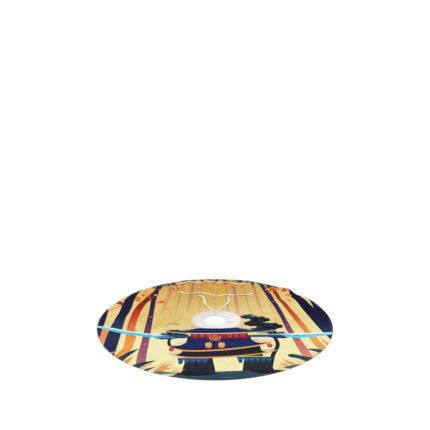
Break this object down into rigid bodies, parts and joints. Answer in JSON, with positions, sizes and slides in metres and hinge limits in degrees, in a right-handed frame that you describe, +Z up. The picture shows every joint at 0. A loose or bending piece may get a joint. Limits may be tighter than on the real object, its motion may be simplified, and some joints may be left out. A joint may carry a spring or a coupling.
{
  "type": "christmas tree skirt",
  "caption": "Round printed fabric tree skirt with a centre trunk hole, a hemmed slit at the back and ribbon ties along the slit.",
  "frame": {"origin": "centre of the trunk hole on the floor plane, under the middle of the skirt", "axes": "+Z up out of the printed face, slit towards +Y, front of the skirt towards -Y"},
  "size_m": [1.2198, 1.2198, 0.0044],
  "materials": {
    "printed_face": "brushed matt polyester, printed",
    "lining": "matt woven",
    "wadding": "matt fleece",
    "facing_tape": "matt twill tape",
    "thread": "satin thread",
    "ribbon": "satin ribbon"
  },
  "bodies": {
    "main_panel": {"face_panel": "printed_face", "wadding_panel": "wadding", "lining_panel": "lining", "rim_facing": "facing_tape", "centre_facing": "facing_tape", "rim_topstitch": "thread", "centre_topstitch": "thread"},
    "left_flap": {"left_flap_face": "printed_face", "left_flap_wadding": "wadding", "left_flap_lining": "lining", "left_rim_facing": "facing_tape", "left_centre_facing": "facing_tape", "left_slit_facing": "facing_tape", "left_topstitch": "thread", "left_tie_ends": "ribbon", "left_bartacks": "thread"},
    "right_flap": {"right_flap_face": "printed_face", "right_flap_wadding": "wadding", "right_flap_lining": "lining", "right_rim_facing": "facing_tape", "right_centre_facing": "facing_tape", "right_slit_facing": "facing_tape", "right_topstitch": "thread", "right_tie_ends": "ribbon", "right_bartacks": "thread"},
    "left_inner_tie": {"left_inner_tie": "ribbon"},
    "left_middle_tie": {"left_middle_tie": "ribbon"},
    "left_outer_tie": {"left_outer_tie": "ribbon"},
    "right_inner_tie": {"right_inner_tie": "ribbon"},
    "right_middle_tie": {"right_middle_tie": "ribbon"},
    "right_outer_tie": {"right_outer_tie": "ribbon"}
  },
  "joints": [
    {"name": "left_flap_fold", "type": "hinge", "parent": "main_panel", "child": "left_flap", "pos_m": [-0.19691, 0.27102, 0.0031], "axis": [0.5878, -0.809, 0], "range_deg": [0, 150]},
    {"name": "right_flap_fold", "type": "hinge", "parent": "main_panel", "child": "right_flap", "pos_m": [0.19691, 0.27102, 0.0031], "axis": [0.5878, 0.809, 0], "range_deg": [0, 150]},
    {"name": "left_inner_tie_swing", "type": "hinge", "parent": "left_flap", "child": "left_inner_tie", "pos_m": [-0.0015, 0.118, 0.0044], "axis": [0, 1, 0], "range_deg": [0, 170]},
    {"name": "left_middle_tie_swing", "type": "hinge", "parent": "left_flap", "child": "left_middle_tie", "pos_m": [-0.0015, 0.343, 0.0044], "axis": [0, 1, 0], "range_deg": [0, 170]},
    {"name": "left_outer_tie_swing", "type": "hinge", "parent": "left_flap", "child": "left_outer_tie", "pos_m": [-0.0015, 0.564, 0.0044], "axis": [0, 1, 0], "range_deg": [0, 170]},
    {"name": "right_inner_tie_swing", "type": "hinge", "parent": "right_flap", "child": "right_inner_tie", "pos_m": [0.0015, 0.102, 0.0044], "axis": [0, -1, 0], "range_deg": [0, 170]},
    {"name": "right_middle_tie_swing", "type": "hinge", "parent": "right_flap", "child": "right_middle_tie", "pos_m": [0.0015, 0.327, 0.0044], "axis": [0, -1, 0], "range_deg": [0, 170]},
    {"name": "right_outer_tie_swing", "type": "hinge", "parent": "right_flap", "child": "right_outer_tie", "pos_m": [0.0015, 0.548, 0.0044], "axis": [0, -1, 0], "range_deg": [0, 170]}
  ]
}
